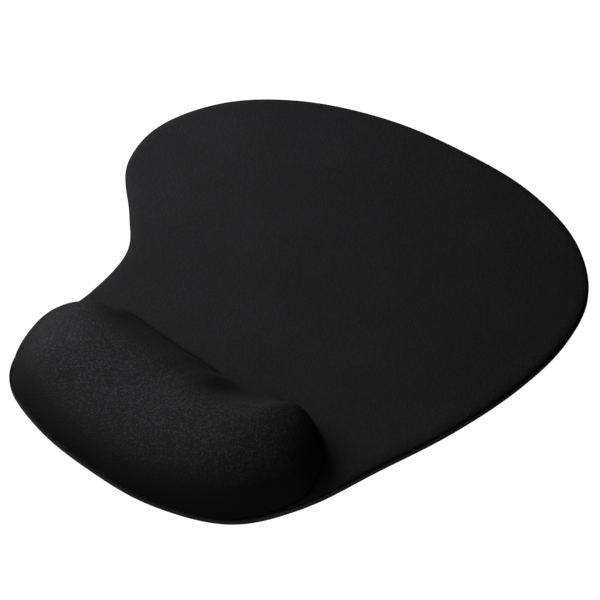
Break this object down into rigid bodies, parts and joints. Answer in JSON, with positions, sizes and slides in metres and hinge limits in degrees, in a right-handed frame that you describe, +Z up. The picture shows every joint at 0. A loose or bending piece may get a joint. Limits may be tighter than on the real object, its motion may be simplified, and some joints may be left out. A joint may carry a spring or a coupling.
{
  "type": "mouse mat with wrist rest",
  "caption": "Flat contoured mouse mat with a raised gel wrist rest along its front edge, covered in black knit over foam.",
  "frame": {"origin": "centre of the mat's underside, on the desk", "axes": "+Z up from the desk, +Y away from the user along the mat's length, +X to the user's right; the wrist rest is along the -Y edge"},
  "size_m": [0.207, 0.2291, 0.0215],
  "materials": {
    "base_rubber": "matte",
    "bond_film": "satin",
    "pouch_film": "gloss",
    "gel": "gloss",
    "foam": "matte",
    "knit": "matte"
  },
  "bodies": {
    "root": {"nonslip_base": "base_rubber", "base_bond_film": "bond_film", "gel_pouch_bottom": "pouch_film", "gel_pouch_top": "pouch_film", "gel_core": "gel", "foam_core": "foam", "cover_bond_film": "bond_film", "fabric_cover": "knit"}
  },
  "joints": []
}
